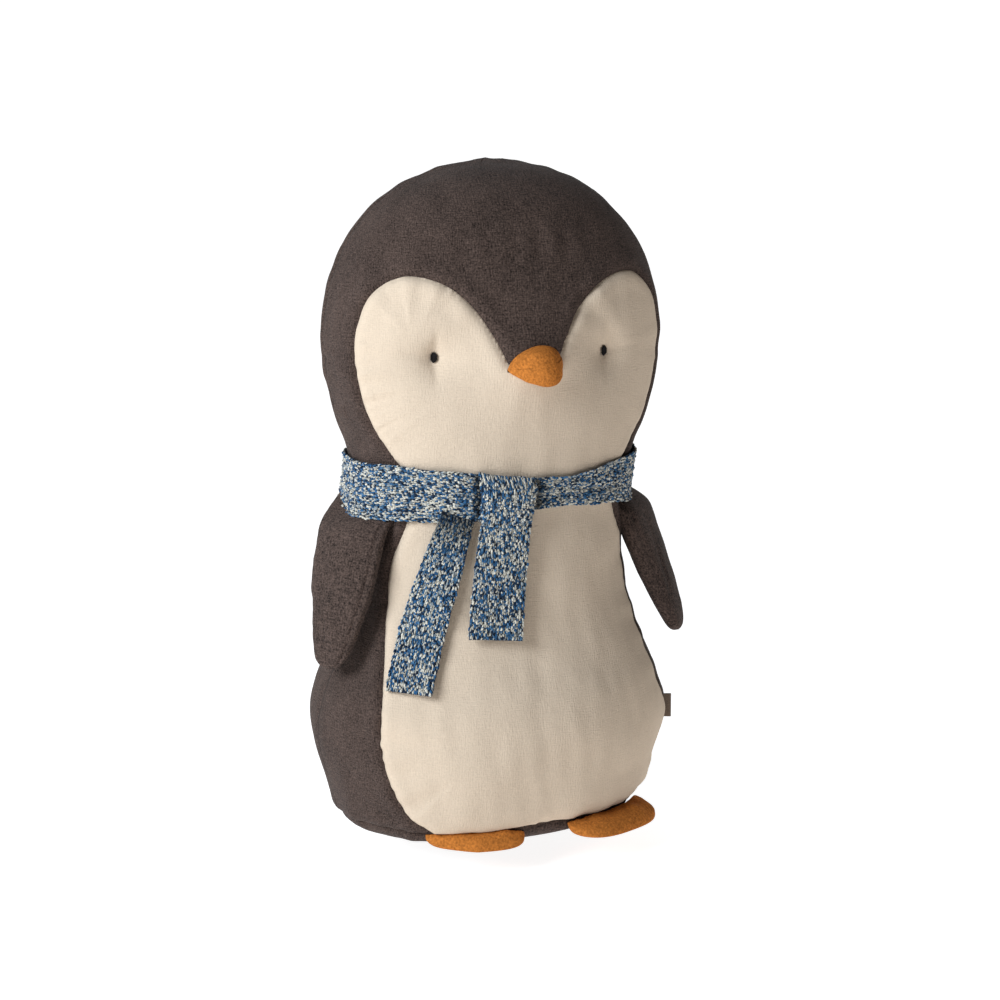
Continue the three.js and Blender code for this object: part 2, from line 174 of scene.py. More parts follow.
def make_piece(name, points, faces, smooth=True):
    """A mesh object from points in millimetres and faces that all have the same number of corners."""
    faces = np.asarray(faces, np.int32)
    mesh = bpy.data.meshes.new(name)
    mesh.vertices.add(len(points))
    mesh.vertices.foreach_set("co", (np.asarray(points) * MM).astype(np.float32).ravel())
    mesh.loops.add(faces.size)
    mesh.loops.foreach_set("vertex_index", faces.ravel())
    mesh.polygons.add(len(faces))
    mesh.polygons.foreach_set("loop_start", np.arange(0, faces.size, faces.shape[1], dtype=np.int32))
    mesh.update(calc_edges=True)
    mesh.validate()
    mesh.polygons.foreach_set("use_smooth", np.full(len(mesh.polygons), smooth))
    piece = bpy.data.objects.new(name, mesh)
    bpy.context.scene.collection.objects.link(piece)
    return piece


def set_vector(piece, name, vectors):
    """Stores one vector at each point of the piece, for its material."""
    attribute = piece.data.attributes.new(name, "FLOAT_VECTOR", "POINT")
    attribute.data.foreach_set("vector", np.asarray(vectors, np.float32).ravel())


def dress(piece, material, replaced=(), body="torso"):
    """Gives the piece its material, the CAD nodes it stands for, and the body it rides."""
    piece.data.materials.append(material)
    if replaced:
        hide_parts(*replaced)
    if body:
        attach(piece, body)
    return piece


# ---- materials ----

IN_MM = (1000.0, 1000.0, 1000.0)    # stretches a place in metres to millimetres


def new_material(name):
    material = bpy.data.materials.new(name)
    material.use_nodes = True
    nodes = material.node_tree.nodes
    return material, nodes, material.node_tree.links, nodes["Principled BSDF"]


def noise_at(nodes, links, vector, stretch, scale, detail=3.0):
    """A noise texture read at vector times stretch."""
    mapping = nodes.new("ShaderNodeVectorMath")
    mapping.operation = "MULTIPLY"
    links.new(vector, mapping.inputs[0])
    mapping.inputs[1].default_value = stretch
    noise = nodes.new("ShaderNodeTexNoise")
    noise.inputs["Scale"].default_value = scale
    noise.inputs["Detail"].default_value = detail
    links.new(mapping.outputs[0], noise.inputs["Vector"])
    return noise.outputs["Fac"]


def weighted(nodes, links, terms):
    """The sum of sockets times their weights."""
    total = None
    for socket, weight in terms:
        step = nodes.new("ShaderNodeMath")
        step.operation = "MULTIPLY_ADD"
        links.new(socket, step.inputs[0])
        step.inputs[1].default_value = weight
        step.inputs[2].default_value = 0.0
        if total is not None:
            links.new(total, step.inputs[2])
        total = step.outputs[0]
    return total


def ramp(nodes, links, value, stops):
    """A colour ramp from (position, colour) stops."""
    node = nodes.new("ShaderNodeValToRGB")
    elements = node.color_ramp.elements
    while len(elements) < len(stops):
        elements.new(0.5)
    for element, (position, colour) in zip(elements, stops):
        element.position = position
        element.color = (*colour, 1.0)
    links.new(value, node.inputs["Fac"])
    return node.outputs["Color"]


def bump(nodes, links, height, distance, shader):
    node = nodes.new("ShaderNodeBump")
    node.inputs["Strength"].default_value = 1.0
    node.inputs["Distance"].default_value = distance
    links.new(height, node.inputs["Height"])
    links.new(node.outputs["Normal"], shader.inputs["Normal"])


def set_surface(shader, roughness, specular=0.1, sheen=0.0):
    shader.inputs["Roughness"].default_value = roughness
    shader.inputs["Specular IOR Level"].default_value = specular
    shader.inputs["Sheen Weight"].default_value = sheen


def shade(colour, factor):
    return tuple(min(channel * factor, 1.0) for channel in colour)


def woven_linen(name, colour, contrast, relief_height, sheen):
    """Plain-woven linen: slubby threads both ways, a faint mottle and a soft nap."""
    material, nodes, links, shader = new_material(name)
    weave = nodes.new("ShaderNodeAttribute")
    weave.attribute_name = "weave"
    vector = weave.outputs["Vector"]
    warp = noise_at(nodes, links, vector, (1.0, 0.14, 1.0), 1.0)
    weft = noise_at(nodes, links, vector, (0.14, 1.0, 1.0), 1.0)
    speck = noise_at(nodes, links, vector, (1.0, 1.0, 1.0), 0.75, 4.0)
    mottle = noise_at(nodes, links, vector, (1.0, 1.0, 1.0), 0.03, 2.0)
    tone = weighted(nodes, links, [(warp, 0.22), (weft, 0.22), (speck, 0.46), (mottle, 0.1)])
    stops = [(0.38, shade(colour, 1 - contrast)), (0.5, colour), (0.62, shade(colour, 1 + contrast))]
    links.new(ramp(nodes, links, tone, stops), shader.inputs["Base Color"])
    relief = weighted(nodes, links, [(warp, 0.6), (weft, 0.6), (speck, 0.3)])
    bump(nodes, links, relief, relief_height, shader)
    set_surface(shader, 0.92, 0.12, sheen)
    shader.inputs["Sheen Roughness"].default_value = 0.5
    return material


def brushed_felt(name, colour):
    """Brushed cotton with a short, matted pile."""
    material, nodes, links, shader = new_material(name)
    place = nodes.new("ShaderNodeTexCoord")
    vector = place.outputs["Object"]
    pile = noise_at(nodes, links, vector, IN_MM, 0.6, 4.0)
    matted = noise_at(nodes, links, vector, IN_MM, 0.16, 3.0)
    tone = weighted(nodes, links, [(pile, 0.8), (matted, 0.2)])
    stops = [(0.35, shade(colour, 0.7)), (0.5, colour), (0.65, shade(colour, 1.3))]
    links.new(ramp(nodes, links, tone, stops), shader.inputs["Base Color"])
    bump(nodes, links, tone, 0.0012, shader)
    set_surface(shader, 0.95, sheen=0.12)
    shader.inputs["Sheen Tint"].default_value = (*shade(colour, 1.8), 1.0)
    return material


def marled_yarn(name):
    """Yarn whose colour comes from each stitch, with fibres along it."""
    material, nodes, links, shader = new_material(name)
    marl = nodes.new("ShaderNodeAttribute")
    marl.attribute_name = "marl"
    place = nodes.new("ShaderNodeTexCoord")
    fibre = noise_at(nodes, links, place.outputs["Object"], IN_MM, 1.4, 3.0)
    tint = ramp(nodes, links, fibre, [(0.3, (0.55, 0.55, 0.55)), (0.65, (1.0, 1.0, 1.0))])
    mix = nodes.new("ShaderNodeVectorMath")
    mix.operation = "MULTIPLY"
    links.new(marl.outputs["Vector"], mix.inputs[0])
    links.new(tint, mix.inputs[1])
    links.new(mix.outputs[0], shader.inputs["Base Color"])
    bump(nodes, links, fibre, 0.0003, shader)
    set_surface(shader, 0.95, sheen=0.15)
    return material


def plain_cloth(name, colour, roughness, scale, distance):
    """A single colour with a fine grain, for thread, tape and what is inside."""
    material, nodes, links, shader = new_material(name)
    place = nodes.new("ShaderNodeTexCoord")
    grain = noise_at(nodes, links, place.outputs["Object"], IN_MM, scale)
    stops = [(0.3, shade(colour, 0.75)), (0.7, shade(colour, 1.15))]
    links.new(ramp(nodes, links, grain, stops), shader.inputs["Base Color"])
    bump(nodes, links, grain, distance, shader)
    set_surface(shader, roughness)
    return material


DARK = (0.068, 0.0455, 0.0370)
CREAM = (0.64, 0.515, 0.392)
OCHRE = (0.46, 0.155, 0.0285)

dark_linen = woven_linen("dark linen", DARK, 0.85, 0.0013, 0.04)
cream_linen = woven_linen("cream linen", CREAM, 0.07, 0.0006, 0.03)
ochre_felt = brushed_felt("ochre felt", OCHRE)
yarn = marled_yarn("marled yarn")
black_thread = plain_cloth("black thread", (0.010, 0.008, 0.008), 0.55, 2.0, 0.0001)
fibre_fill = plain_cloth("fibre fill", (0.85, 0.83, 0.78), 0.95, 0.3, 0.001)
pellet_cotton = plain_cloth("pellet bag cotton", (0.60, 0.54, 0.45), 0.9, 0.5, 0.001)
woven_tape = plain_cloth("woven tape", (0.19, 0.14, 0.105), 0.85, 1.2, 0.0002)


# ---- the stuffed bag of head and body ----

wall = spline(BAG_PROFILE, 900)
PROFILE = np.vstack([[0.0, 0.0], wall])
PROFILE_ALONG = np.concatenate([[0], np.cumsum(np.linalg.norm(np.diff(PROFILE, axis=0), axis=1))])
PROFILE_LENGTH = PROFILE_ALONG[-1]


def half_width_at(z):
    return np.interp(z, wall[:, 1], wall[:, 0])


def profile_at(along):
    """Half-width and height at a distance along the profile, from the middle of the base to the crown."""
    width = np.interp(along, PROFILE_ALONG, PROFILE[:, 0])
    height = np.interp(along, PROFILE_ALONG, PROFILE[:, 1])
    return width, height


def face_relief(x, z):
    """How far the face stands out of the plain bag: the seat of the beak, less the dimples at the eyes."""
    muzzle = MUZZLE["rise"] * bell(x / MUZZLE["half_width"], (z - MUZZLE["z"]) / MUZZLE["half_height"])
    aside = np.abs(x - EYE["shift"]) - EYE["x"]
    up = z - EYE["z"]
    dimple = EYE["dimple"] * bell(aside / EYE["dimple_radius"], up / EYE["dimple_radius"])
    pit = EYE["pit"] * bell(aside / EYE["pit_radius"], up / EYE["pit_radius"])
    crease = 1.3 * bell(aside / 2.5, (up + 2) / 16)
    return muzzle - dimple - pit - crease


def bag_point(phi, along):
    """The bag's smooth surface: phi is 0 at the front and a quarter turn at the toy's left."""
    width, z = profile_at(along)
    sine, cosine = np.sin(phi), np.cos(phi)
    x = width * signed_power(sine, 2 / SECTION_POWER)
    share = np.where(cosine > 0, smooth_table(FRONT_DEPTH, z), smooth_table(BACK_DEPTH, z))
    y = -width * share * signed_power(cosine, 2 / SECTION_POWER)
    y = y - np.where(cosine > 0, face_relief(x, z) * cosine, 0)
    return np.stack([x, y, z], axis=-1)


def bag_normal(phi, along):
    step = 0.004
    along = np.clip(along, 1.0, PROFILE_LENGTH - 1.5)
    around = bag_point(phi + step, along) - bag_point(phi - step, along)
    up = bag_point(phi, along + 0.8) - bag_point(phi, along - 0.8)
    return unit(np.cross(around, up))


def front_point(x, z):
    """The place on the front of the bag that is seen at x and z from straight ahead."""
    x, z = np.broadcast_arrays(np.asarray(x, float), np.asarray(z, float))
    width = half_width_at(z)
    share = np.minimum(np.abs(x) / width, 1)
    depth = width * smooth_table(FRONT_DEPTH, z) * (1 - share**SECTION_POWER) ** (1 / SECTION_POWER)
    return np.stack([x, -depth - face_relief(x, z), z], axis=-1)


def front_normal(x, z):
    across = front_point(x + 1.0, z) - front_point(x - 1.0, z)
    up = front_point(x, z + 1.0) - front_point(x, z - 1.0)
    return unit(np.cross(across, up))


def settle(points):
    """The finished toy's stance: its head turned and leaning a little."""
    angle = np.radians(smooth_table(TURN, points[:, 2]))
    cosine, sine = np.cos(angle), np.sin(angle)
    x = points[:, 0] * cosine - points[:, 1] * sine + smooth_table(LEAN, points[:, 2])
    y = points[:, 0] * sine + points[:, 1] * cosine
    return np.stack([x, y, points[:, 2]], axis=1)


def outline_loop(outline, drift=None):
    """A closed outline seen from the front, from its right half."""
    half = spline(outline, 260)
    loop = np.vstack([half, (half * [-1, 1])[::-1]])
    if drift:
        loop[:, 0] += smooth_table(drift, loop[:, 1])
    return loop


def outside_distance(x, z, loop):
    """Distance from the loop in its plane, negative inside it."""
    inside = np.zeros(len(x), bool)
    nearest = np.full(len(x), 1e9)
    for (x0, z0), (x1, z1) in zip(loop, np.roll(loop, -1, axis=0)):
        crosses = (z0 > z) != (z1 > z)
        if z0 != z1:
            inside ^= crosses & (x < x0 + (z - z0) * (x1 - x0) / (z1 - z0))
        step = np.array([x1 - x0, z1 - z0])
        share = ((x - x0) * step[0] + (z - z0) * step[1]) / max(step @ step, 1e-9)
        share = np.clip(share, 0, 1)
        gap = np.hypot(x - x0 - share * step[0], z - z0 - share * step[1])
        nearest = np.minimum(nearest, gap)
    return np.where(inside, -nearest, nearest)


def used_only(points, faces):
    used, index = np.unique(faces, return_inverse=True)
    return points[used], index.reshape(faces.shape)


def cut(shape, field):
    """Splits a triangle mesh along the line where field changes sign, into what is below and above it."""
    points, faces = shape
    values = field(bag_point(points[:, 0], points[:, 1]), points)
    values = np.where(np.abs(values) < 1e-6, 1e-6, values)
    below = values < 0
    count = below[faces].sum(axis=1)
    mixed = faces[(count == 1) | (count == 2)]
    alone_below = below[mixed].sum(axis=1) == 1
    first = (below[mixed] == alone_below[:, None]).argmax(axis=1)
    row = np.arange(len(mixed))
    a, b, c = (mixed[row, (first + k) % 3] for k in range(3))
    edges = np.sort(np.vstack([np.stack([a, b], axis=1), np.stack([a, c], axis=1)]), axis=1)
    edges, index = np.unique(edges, axis=0, return_inverse=True)
    index = index.ravel() + len(points)
    start, end = edges.T
    share = (values[start] / (values[start] - values[end]))[:, None]
    points = np.vstack([points, points[start] * (1 - share) + points[end] * share])
    ab, ac = index[:len(mixed)], index[len(mixed):]
    alone = np.stack([a, ab, ac], axis=1)
    pair = np.vstack([np.stack([ab, b, c], axis=1), np.stack([ab, c, ac], axis=1)])
    pair_below = np.concatenate([~alone_below, ~alone_below])
    low = np.vstack([faces[count == 3], alone[alone_below], pair[pair_below]])
    high = np.vstack([faces[count == 0], alone[~alone_below], pair[~pair_below]])
    return used_only(points, low), used_only(points, high)


def bag_grid(rows, columns):
    """The whole bag as triangles over (phi, along)."""
    phi = np.linspace(-math.pi, math.pi, columns)
    along = np.linspace(1.5, PROFILE_LENGTH - 0.4, rows)
    points = np.stack([np.tile(phi, rows), np.repeat(along, columns)], axis=1)
    quads = grid_faces(rows, columns)
    return points, np.vstack([quads[:, [0, 1, 2]], quads[:, [0, 2, 3]]])


def rim_of(faces):
    """Edges that only one face has, in that face's direction."""
    edges = np.vstack([faces[:, [0, 1]], faces[:, [1, 2]], faces[:, [2, 0]]])
    keys = np.sort(edges, axis=1)
    unique, index, counts = np.unique(keys, axis=0, return_inverse=True, return_counts=True)
    return edges[counts[index.ravel()] == 1]


face_loop = outline_loop(FACE_OUTLINE)
belly_loop = outline_loop(BELLY_OUTLINE, BELLY_DRIFT)


def in_front(position):
    return position[:, 1] < 0


def outline_field(loop):
    """Distance outside the loop on the front of the bag, and far outside it at the back."""
    def field(position, _):
        distance = outside_distance(position[:, 0], position[:, 2], loop)
        return np.where(in_front(position), distance, BEHIND + np.abs(distance))

    return field


def neck_field(position, _):
    return position[:, 2] - NECK_Z


def side_field(position, _):
    return position[:, 1] - SIDE_SEAM_Y


def centre_field(_, points):
    return points[:, 0]


def base_field(position, _):
    """Above the base's seam; the flat underside counts as below it."""
    return position[:, 2] - BASE_SEAM_Z


def cut_panels():
    body, head = cut(bag_grid(BAG_ROWS, BAG_COLUMNS), neck_field)
    face, dark = cut(head, outline_field(face_loop))
    head_front, head_back = cut(dark, side_field)
    head_right, head_left = cut(head_back, centre_field)
    base, sides = cut(body, base_field)
    belly, dark = cut(sides, outline_field(belly_loop))
    back_right, back_left = cut(dark, centre_field)
    return {
        "face": face, "head_front": head_front, "head_back_left": head_left, "head_back_right": head_right,
        "belly": belly, "back_left": back_left, "back_right": back_right, "base": base,
    }


def seam_map(panels):
    """A search tree of every place on a seam."""
    borders = []
    for points, faces in panels.values():
        ends = points[np.unique(rim_of(faces))]
        borders.append(bag_point(ends[:, 0], ends[:, 1]))
    borders = np.vstack(borders)
    borders = borders[borders[:, 2] > 2]
    tree = KDTree(len(borders))
    for i, place in enumerate(borders):
        tree.insert(place, i)
    tree.balance()
    return tree


def seam_reach(tree, position):
    """Each point's nearest place on a seam, and its distance."""
    found = [tree.find(place) for place in position]
    return np.array([hit[0] for hit in found]), np.array([hit[2] for hit in found])


def cloth_offset(position, nearest, distance):
    """How far the cloth lies off the smooth bag: seam valleys, puckers, tension folds and lumps."""
    x, y, z = position.T
    left, right, low = x > 0, x < 0, 1 / (1 + np.exp((z - 120) / 14))
    valley = -VALLEY_DEPTH * np.exp(-((distance / VALLEY_REACH) ** 2))
    puff = PUFF_HEIGHT * np.exp(-(((distance - PUFF_AT) / PUFF_REACH) ** 2))
    fine = ripple(nearest, 8.5, 11)
    broad = ripple(nearest, 21, 12)
    amount = np.clip(0.5 + 0.5 * ripple(nearest, 75, 13), 0.05, 1.4) * (1 - 0.45 * bell(z / 22))
    amount = amount + 0.9 * right * in_front(position) * bell((z - 60) / 36, (x + 112) / 50)
    amount = amount + 0.8 * right * in_front(position) * bell((z - 366) / 30, (x + 112) / 40)
    tension = 1.0 * ripple(nearest, 9, 14) * np.exp(-distance / 17) * (1 - np.exp(-distance / 3))
    tension = tension * right * in_front(position) * bell((z - 338) / 38, (x + 112) / 45)
    puckers = amount * 0.34 * fine * np.exp(-distance / 5) + tension
    folds = amount * 0.95 * broad * np.exp(-distance / 15) * (1 - np.exp(-distance / 4))
    lumps = 0.75 * ripple(position, 85, 21) + 0.28 * ripple(position, 34, 22)
    lumps = lumps * (1 - 0.55 * (z > NECK_Z))
    stretched = position * [1.0, 1.0, 0.28]
    forehead = in_front(position) * bell((z - 425) / 40, x / 60)
    dark_back = 1 - in_front(position)
    drawn = 0.17 * ripple(stretched, 15, 23) * (0.5 + 0.5 * low + 1.6 * forehead + 0.6 * dark_back)
    cinch = sum(depth * bell((z - height) / reach) for depth, height, reach in CINCHES)
    cinch = -cinch * left * np.exp(-distance / 17) * (y < 30)
    creases = np.zeros(len(x))
    for side in (-1, 1):
        aside, above = side * (x - EYE["shift"]) - EYE["x"], z - EYE["z"]
        creases -= 0.7 * bell(aside / 3.4) * bell((above - 11) / 10)
        creases -= 0.9 * bell((above - 0.14 * aside) / 3.0) * bell((aside - 13) / 11)
        creases -= 0.3 * bell((aside + 1) / 3.4) * bell((above + 11) / 8)
    creases = creases * in_front(position)
    offset = valley + puff + puckers + folds + lumps + drawn + cinch + creases
    grounded = smooth_table([(0, 0), (9, 1)], z)
    under_scarf = 1 - bell((z - NECK_Z) / 17)
    return offset * grounded * under_scarf - 1.2 * (1 - under_scarf)


def sew_panel(name, shape, tree, material, node):
    points, faces = shape
    position = bag_point(points[:, 0], points[:, 1])
    normal = bag_normal(points[:, 0], points[:, 1])
    nearest, distance = seam_reach(tree, position)
    cloth = position + normal * cloth_offset(position, nearest, distance)[:, None]
    cloth[:, 2] = np.maximum(cloth[:, 2], 0.05)
    rim = rim_of(faces)
    rim_points, rim_index = np.unique(rim, return_inverse=True)
    rim_index = rim_index.reshape(rim.shape) + len(points)
    inward = cloth[rim_points] - normal[rim_points] * SEAM_ALLOWANCE
    inward[:, 2] = np.maximum(inward[:, 2], 0.6)
    start, end = rim.T
    under = np.vstack([
        np.stack([end, start, rim_index[:, 0]], axis=1),
        np.stack([end, rim_index[:, 0], rim_index[:, 1]], axis=1),
    ])
    piece = make_piece(name, settle(np.vstack([cloth, inward])), np.vstack([faces, under]))
    width = profile_at(points[:, 1])[0]
    phi = points[:, 0]
    turned = np.where(np.abs(phi) > math.pi / 2, phi - np.sign(phi) * math.pi, phi)
    weave = np.stack([width * turned, points[:, 1], np.zeros(len(points))], axis=1)
    set_vector(piece, "weave", np.vstack([weave, weave[rim_points]]))
    return dress(piece, material, [node])


def inner_form(name, low, high, inset, material, slot, node):
    """What fills the bag between two heights, set in from the cloth."""
    rows, columns = 60, 72
    z = np.linspace(low, high, rows)
    along = np.interp(z, PROFILE[:, 1], PROFILE_ALONG)
    along = np.maximum(along, PROFILE_ALONG[1])
    phi = np.linspace(-math.pi, math.pi, columns, endpoint=False)
    grid_phi, grid_along = np.tile(phi, rows), np.repeat(along, columns)
    points = bag_point(grid_phi, grid_along) - bag_normal(grid_phi, grid_along) * inset
    points[:, 2] = np.clip(points[:, 2], low, high)
    caps = [points[:columns].mean(axis=0), points[-columns:].mean(axis=0)]
    quads = grid_faces(rows, columns, closed=True)
    triangles = [quads[:, [0, 1, 2]], quads[:, [0, 2, 3]]]
    ring = np.arange(columns)
    after = np.roll(ring, -1)
    top = (rows - 1) * columns
    count = len(points)
    triangles.append(np.stack([after, ring, np.full(columns, count)], axis=1))
    triangles.append(np.stack([top + ring, top + after, np.full(columns, count + 1)], axis=1))
    piece = make_piece(name, settle(np.vstack([points, caps])), np.vstack(triangles))
    return dress(piece, material, [node])


def build_bag():
    panels = cut_panels()
    tree = seam_map(panels)
    for panel, shape in panels.items():
        cream = panel in ("face", "belly")
        material, slot = (cream_linen, "linen_cream") if cream else (dark_linen, "linen_dark")
        sew_panel(panel + "_cloth", shape, tree, material, panel + "_panel")
    fibre = (STUFFING_INSET, fibre_fill, "stuffing")
    pellets = (STUFFING_INSET + 1, pellet_cotton, "pellets")
    inner_form("head_stuffing", NECK_Z + 1, HEIGHT - 4, *fibre, "head_filling")
    inner_form("body_stuffing", PELLET_TOP_Z + 1, NECK_Z - 1, *fibre, "body_filling")
    inner_form("pellet_bag", 4, PELLET_TOP_Z, *pellets, "base_pellet_bag")


# ---- tubes ----

def tube(path, radius, sides=6, taper=0.35):
    """Points and quads of a tube along path, narrower at its two ends."""
    path = np.asarray(path, float)
    ahead = unit(np.gradient(path, axis=0))
    up = np.tile([0.0, 0.0, 1.0], (len(path), 1))
    steep = np.abs(ahead[:, 2]) > 0.9
    up[steep] = [0.0, 1.0, 0.0]
    side = unit(np.cross(ahead, up))
    over = np.cross(side, ahead)
    angle = np.arange(sides) * 2 * math.pi / sides
    thick = np.full(len(path), radius)
    thick[[0, -1]] *= taper
    ring = np.cos(angle)[None, :, None] * side[:, None] + np.sin(angle)[None, :, None] * over[:, None]
    points = path[:, None] + ring * thick[:, None, None]
    return points.reshape(-1, 3), grid_faces(len(path), sides, closed=True)


def joined(parts):
    """Several (points, faces) as one."""
    points, faces, start = [], [], 0
    for part_points, part_faces in parts:
        points.append(part_points)
        faces.append(part_faces + start)
        start += len(part_points)
    return np.vstack(points), np.vstack(faces)


# ---- eyes ----

def build_eyes():
    """Each eye is a padded oval of satin stitches, one strand beside the next."""
    for name, side, node in [("eye_left_stitches", 1, "eye_left"), ("eye_right_stitches", -1, "eye_right")]:
        centre = EYE["shift"] + side * EYE["x"]
        strands = []
        for offset in np.linspace(-2.8, 2.8, 11):
            reach = 4.4 * math.sqrt(max(1 - (offset / 3.3) ** 2, 0.05))
            x = centre + offset
            z = EYE["z"] + np.linspace(-reach, reach, 9)
            lift = 0.5 + 1.8 * np.sqrt(np.maximum(1 - ((z - EYE["z"]) / 4.6) ** 2 - (offset / 3.7) ** 2, 0))
            path = front_point(np.full(len(z), x), z) + front_normal(np.full(len(z), x), z) * lift[:, None]
            strands.append(tube(path, 0.46))
        points, faces = joined(strands)
        piece = make_piece(name, settle(points), faces)
        dress(piece, black_thread, [node])
    right, left = EYE["shift"] - EYE["x"], EYE["shift"] + EYE["x"]
    behind = front_point(np.array([left, right]), EYE["z"])[:, 1].max() + 6
    bends = [
        (left, behind), (left - 10, behind + 9), (left - 40, behind + 13),
        (right + 40, behind + 13), (right + 10, behind + 9), (right, behind),
    ]
    curve = spline(bends, 40)
    path = np.stack([curve[:, 0], curve[:, 1], np.full(len(curve), EYE["z"])], axis=1)
    points, faces = tube(path, 0.5)
    piece = make_piece("eye_tie", settle(points), faces)
    dress(piece, black_thread, ["eye_tie_thread"])


# ---- beak ----

BEAK = {"z": 358.0, "half_width": 20.5, "reach": 17.5, "tilt": 11.0}
# The beak's middle section, as forward and up from its centre: top of the root, lip, underside,
# bottom of the root.
BEAK_SECTION = [(-3, 11.5), (3, 11.6), (8.5, 9.2), (13, 4.0), (16, -4.5), (17.5, -12.5), (16.2, -16.0),
                (12.5, -15.4), (6, -12.0), (-3, -9.0)]
BEAK_LIP = 0.62             # share of the section from its top to the lip
BEAK_STUFFING_INSET = 2.2


def beak_points(across, section, inset):
    """Places on the beak from its width share and its middle section, set in by inset."""
    u, k = np.meshgrid(across, np.arange(len(section)), indexing="ij")
    forward, up = section[k, 0], section[k, 1]
    fullness = np.maximum(1 - np.abs(u) ** np.where(u < 0, 2.0, 3.0), 0) ** np.where(u < 0, 0.62, 0.5)
    scale = 1 - inset / BEAK["half_width"]
    reached = np.clip(forward * fullness / BEAK["reach"], 0, 1)
    narrowing = 1 - 0.34 * reached**1.4
    x = BEAK["half_width"] * scale * u * narrowing + 3.6 * reached**1.5
    rise = up * fullness * (1 - inset / 12) - 2.2 * np.abs(u) ** 2 * (up > 0)
    tilt = math.radians(BEAK["tilt"])
    x, rise = x * math.cos(tilt) - rise * math.sin(tilt), x * math.sin(tilt) + rise * math.cos(tilt)
    z = BEAK["z"] + rise
    seat = front_point(x, z)[..., 1]
    y = seat - forward * fullness * (1 - inset / 14) - 1.3
    return np.stack([x, y, z], axis=-1).reshape(-1, 3)


def build_beak():
    section = even_steps(spline(BEAK_SECTION, 200), 64)
    along = np.linspace(0, 1, len(section))
    ease = 1.0 * np.exp(-(((along - BEAK_LIP) / 0.02) ** 2))
    centre = np.array([7.0, -2.0])
    section = section - unit(section - centre) * ease[:, None]
    across = np.sin(np.linspace(-math.pi / 2, math.pi / 2, 61))
    lip = int(BEAK_LIP * (len(section) - 1))
    parts = [
        ("beak_upper_felt", section[: lip + 1], "beak_upper"),
        ("beak_lower_felt", section[lip:], "beak_lower"),
    ]
    for name, part, node in parts:
        points = beak_points(across, part, 0.0)
        points = points + 0.18 * unit(points - points.mean(axis=0)) * ripple(points, 13, 31)[:, None]
        piece = make_piece(name, settle(points), grid_faces(len(across), len(part)))
        dress(piece, ochre_felt, [node])
    points = beak_points(across[4:-4], section[2:-2], BEAK_STUFFING_INSET)
    faces = grid_faces(len(across) - 8, len(section) - 4, closed=True)
    piece = make_piece("beak_stuffing", settle(points), faces)
    dress(piece, fibre_fill, ["beak_filling"])


# ---- limbs ----

def stuff_limb(piece, material, node):
    """Makes the piece a padded part of a limb, with its place baked into its points."""
    dress(piece, material, [node], body=None)
    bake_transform(piece)


# ---- flippers ----

FLIPPER = {"left_facing": 51.0, "right_facing": 65.0, "left_splay": 21.0, "right_splay": 12.0}
# Half-width and distance down from the shoulder pivot, and half-thickness likewise.
FLIPPER_WIDTH = [
    (30, -24), (31.5, -12), (32.5, 2), (32.5, 18), (31.5, 34), (29, 52), (25, 69), (21.5, 86), (17, 100),
    (10.5, 108.5), (0, 112),
]
FLIPPER_DEPTH = [(2, -24), (5.5, -8), (8.5, 8), (9.8, 30), (9.4, 60), (8, 85), (5.5, 101), (3, 109), (0, 112)]
FLIPPER_TUCK = 17.0         # how far its root leans in under the scarf
FLIPPER_SWEEP = 5.0         # how far its tip lies behind its middle
LEFT_FULLNESS = 1.22        # the left one is stuffed fuller
RIGHT_FORWARD = 4.4         # how far the right one hangs forward of its pivot, along its width
RIGHT_OUTWARD = 4.6         # how far it hangs off the body
FLIPPER_STUFFING_INSET = 4.2
FLIPPER_SEAM = 0.45         # radians round the section from its edge to the seam, on the outer side


def flipper_place(side):
    joint = joints["flipper_left_lift" if side > 0 else "flipper_right_lift"]
    splay = FLIPPER["left_splay"] if side > 0 else FLIPPER["right_splay"]
    facing = FLIPPER["left_facing"] if side > 0 else FLIPPER["right_facing"]
    turn = Matrix.Rotation(math.radians(side * facing), 4, "Z")
    swing = Matrix.Rotation(math.radians(-splay), 4, "X")
    return Matrix.Translation(Vector(joint["pos_m"]) / MM) @ turn @ swing


def moved(points, matrix):
    matrix = np.array(matrix)
    return points @ matrix[:3, :3].T + matrix[:3, 3]


